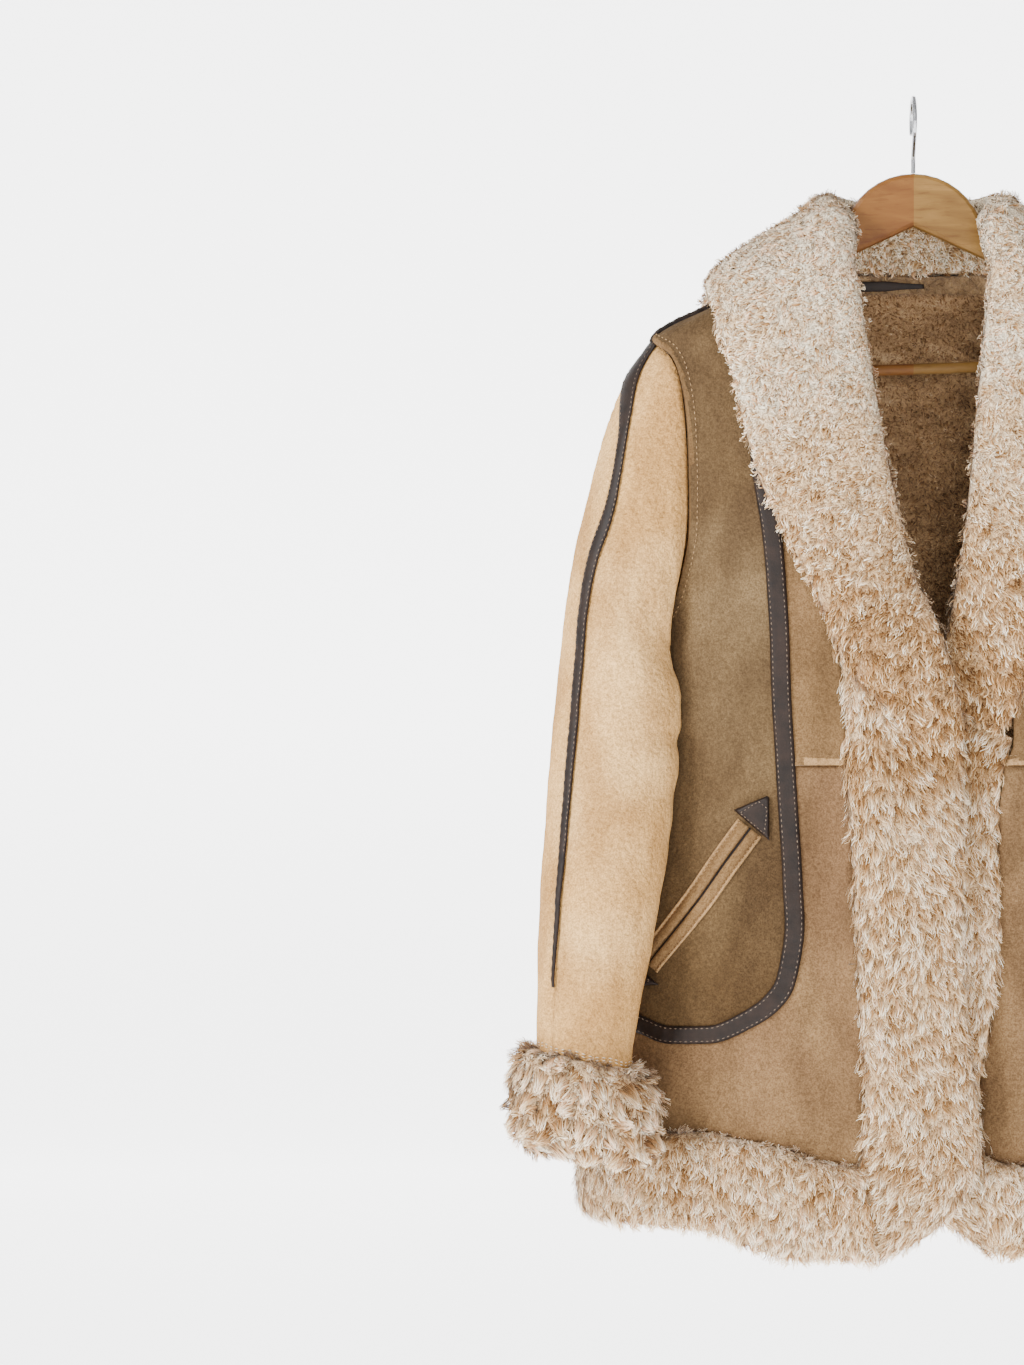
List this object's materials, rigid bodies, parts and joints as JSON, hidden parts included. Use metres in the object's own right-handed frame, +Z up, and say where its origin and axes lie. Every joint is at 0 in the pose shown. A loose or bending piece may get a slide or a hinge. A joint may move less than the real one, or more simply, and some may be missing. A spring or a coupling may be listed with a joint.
{
  "type": "shearling coat on a hanger",
  "caption": "Hip-length shearling coat with a curly shawl collar, fur bands and cuffs, leather seam strips and slanted pockets, hanging on a wooden hanger.",
  "frame": {"origin": "inside of the hanger hook's top, where a rail carries it", "axes": "+Z up, along the coat as it hangs; -Y out of the coat's front; -X towards the wearer's right"},
  "size_m": [0.6484, 0.2281, 0.9167],
  "materials": {
    "suede": "tan napped suede with darker blotches",
    "fur": "cream curly wool on the hide",
    "leather": "dark brown smooth leather",
    "wood": "satin varnished beech",
    "steel": "bright wire"
  },
  "bodies": {
    "root": {"back": "suede", "back_hem_band": "fur", "collar_stand": "fur", "neck_tape": "leather", "right_side_front": "suede", "right_chest_front": "suede", "right_skirt_front": "suede", "right_sleeve_front": "suede", "right_sleeve_back": "suede", "right_pocket_welt_upper": "suede", "right_pocket_welt_lower": "suede", "right_front_band": "fur", "right_hem_band": "fur", "right_cuff": "fur", "right_collar": "fur", "right_princess_strip": "leather", "right_shoulder_strip": "leather", "right_sleeve_strip": "leather", "right_pocket_tab_top": "leather", "right_pocket_tab_bottom": "leather", "left_side_front": "suede", "left_chest_front": "suede", "left_skirt_front": "suede", "left_sleeve_front": "suede", "left_sleeve_back": "suede", "left_pocket_welt_upper": "suede", "left_pocket_welt_lower": "suede", "left_front_band": "fur", "left_hem_band": "fur", "left_cuff": "fur", "left_collar": "fur", "left_princess_strip": "leather", "left_shoulder_strip": "leather", "left_sleeve_strip": "leather", "left_pocket_tab_top": "leather", "left_pocket_tab_bottom": "leather", "hanger_wood": "wood", "hanger_bar": "wood", "hanger_hook": "steel"}
  },
  "joints": []
}
